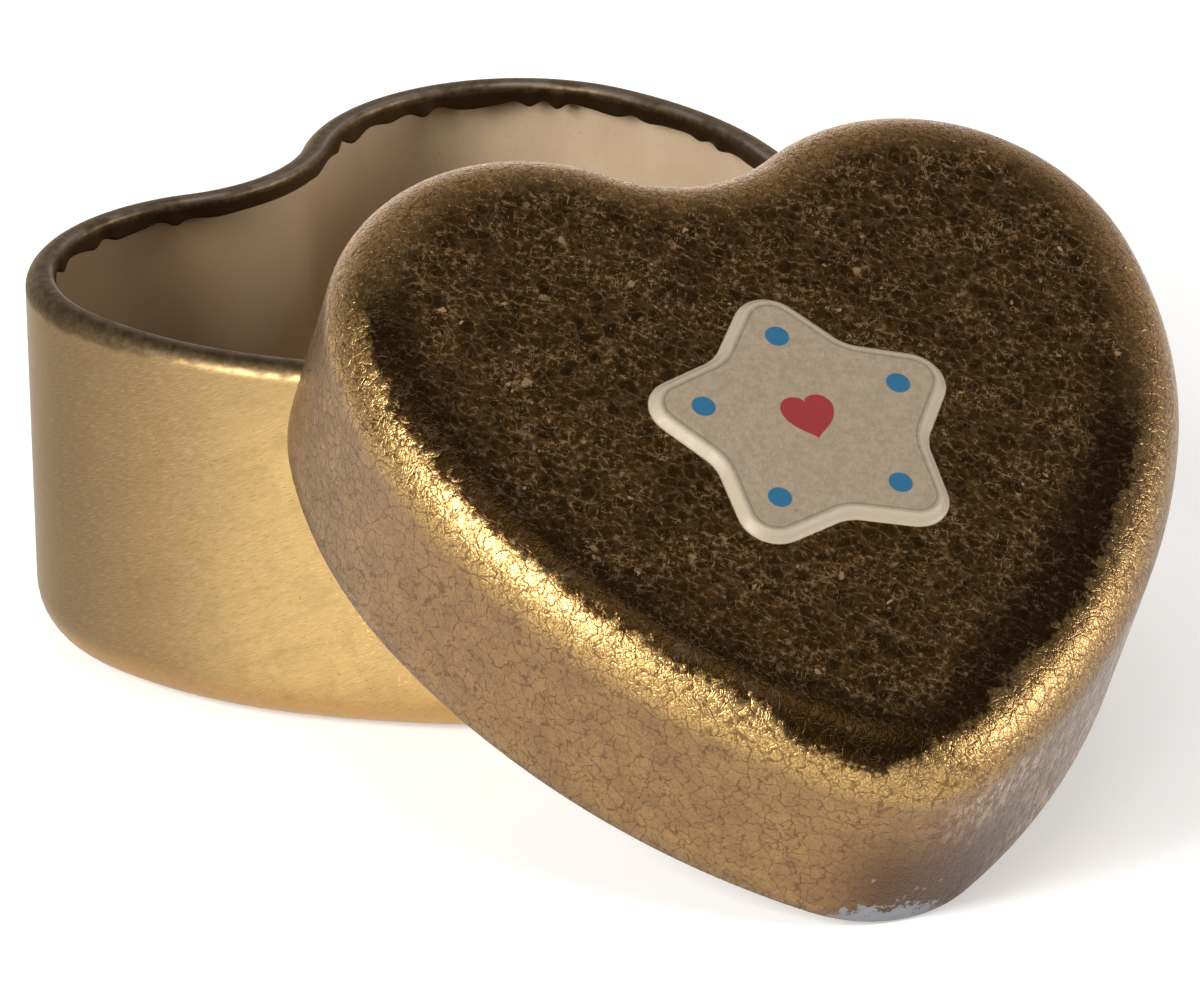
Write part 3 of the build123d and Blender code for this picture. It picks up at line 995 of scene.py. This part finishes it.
# rust under the tip, and bare grey tin where the tip has been knocked
from_rust = math_node(tree, "ABSOLUTE", minus(tree, local_x, RUST_RIGHT))
rust_side = times(tree, smooth(tree, from_rust, 9.0, 3.0), smooth(tree, local_y, -16.0, -20.0))
rust_height = plus(tree, local_z, times(tree, mottle, 3.0))
rusted = times(tree, rust_side, smooth(tree, rust_height, *RUST_TOP, 0.0, 0.95))
from_tip = smooth(tree, math_node(tree, "ABSOLUTE", plus(tree, local_x, CHIP_LEFT)), 1.5, 6.5)
near_tip = times(tree, minus(tree, 1.0, from_tip), smooth(tree, local_y, -18.0, -20.0))
chip_edge = plus(tree, local_z, times(tree, from_tip, 2.4))
chip_edge = plus(tree, chip_edge, times(tree, noise(tree, lid_place, 1.5, 4.0, 0.7), 6.5))
chip = times(tree, smooth(tree, chip_edge, *CHIP_TOP), near_tip)
loose = scattered(tree, warped, spacing=1.0, size=0.26, share=0.30)
loose = times(tree, loose, times(tree, near_tip, smooth(tree, chip_edge, *LOOSE_TOP)))
chip = larger(tree, chip, loose)
lacquer = layered(tree, lacquer, (rusted, TIP_RUST), (chip, CHIP_TIN))

# cream enamel on the star with pale flecks, its bevel paler as a painted highlight, a thin grey line inside
# its edge, five blue dots and a red heart
edge_line = times(tree, smooth(tree, distance, -0.98, -0.90), smooth(tree, distance, -0.78, -0.86))
cream = layered(
    tree, ENAMEL_CREAM,
    (smooth(tree, noise(tree, lid_place, 2.4, 5.0, 0.75), 0.36, 0.64), ENAMEL_WORN),
    (smooth(tree, shaving, 0.58, 0.70, 0.0, 0.40), ENAMEL_FLECK_AND_HIGHLIGHT),
    # painted highlight: the bevel paler than the star's top
    (smooth(tree, distance, -0.78, -0.55), ENAMEL_FLECK_AND_HIGHLIGHT),
    (times(tree, edge_line, 0.55), ENAMEL_LINE))
star_y = minus(tree, local_y, STAR_FORWARD)
star_spot = add_node(tree, "ShaderNodeCombineXYZ", {"X": local_x, "Y": star_y}).outputs[0]
for dot in range(STAR_POINTS):
    bearing = math.radians(90 + dot * 360 / STAR_POINTS)
    dot_centre = (DOT_REACH * math.cos(bearing), DOT_REACH * math.sin(bearing), 0)
    from_dot = add_node(tree, "ShaderNodeVectorMath", {0: star_spot, 1: dot_centre}, operation="DISTANCE")
    painted = smooth(tree, from_dot.outputs["Value"], DOT_RADIUS + PAINT_BLUR, DOT_RADIUS - PAINT_BLUR)
    cream = mix_colour(tree, painted, cream, ENAMEL_BLUE)
folded_x = math_node(tree, "ABSOLUTE", local_x)
sag = times(tree, math_node(tree, "SQRT", folded_x), HEART_SAG)
heart_y = minus(tree, times(tree, star_y, HEART_STRETCH), sag)
heart_spot = add_node(tree, "ShaderNodeCombineXYZ", {"X": folded_x, "Y": heart_y}).outputs[0]
from_heart = add_node(tree, "ShaderNodeVectorMath", {0: heart_spot}, operation="LENGTH").outputs["Value"]
painted = smooth(tree, from_heart, HEART_SIZE + PAINT_BLUR, HEART_SIZE - PAINT_BLUR)
cream = mix_colour(tree, painted, cream, ENAMEL_RED)
pits = scattered(tree, lid_place, spacing=1.9, size=0.11, share=0.40)
cream = mix_colour(tree, times(tree, pits, 0.6), cream, ENAMEL_LINE)
on_star = smooth(tree, distance, 0.10, 0.0)
lacquer = mix_colour(tree, on_star, lacquer, cream)
beige_cloud = smooth(tree, noise(tree, lid_place, 0.12, 3.0), 0.3, 0.7)
beige = mix_colour(tree, beige_cloud, INSIDE_BEIGE, INSIDE_SHADE)
colour = mix_colour(tree, inside, lacquer, beige)

# enamel, the inside, bare chips and most marks are not bright metal; the rest stands out in low relief
plain = larger(tree, larger(tree, on_star, inside), chip)
marks = times(tree, larger(tree, filament, fleck), top_mask)
matt = larger(tree, plain, times(tree, marks, 0.8))
metal = minus(tree, 0.94, times(tree, matt, 0.88))
rough = plus(tree, smooth(tree, mottle, 0.3, 0.7, 0.25, 0.37), times(tree, matt, 0.22))
relief = plus(tree, times(tree, mottle, 0.032), smooth(tree, splits, 0.0, 0.10, 0.0, 0.019))
relief = plus(tree, relief, smooth(tree, crazing, 0.0, 0.2, 0.0, 0.010))
relief = times(tree, relief, minus(tree, 1.0, plain))
relief = times(tree, relief, minus(tree, 1.0, times(tree, top_mask, 0.35)))
relief = minus(tree, relief, times(tree, chip, 0.02))
bump = add_node(tree, "ShaderNodeBump", {"Strength": 1.0, "Distance": MM, "Height": relief})
surface = add_node(tree, "ShaderNodeBsdfPrincipled", {
    "Base Color": colour, "Metallic": metal, "Roughness": rough, "Normal": bump.outputs["Normal"]})
add_node(tree, "ShaderNodeOutputMaterial", {"Surface": surface.outputs[0]})
lid_mesh.materials.append(lid_lacquer)

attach(lid_shell, "lid")
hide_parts("lid")

scene.view_settings.view_transform = "Standard"
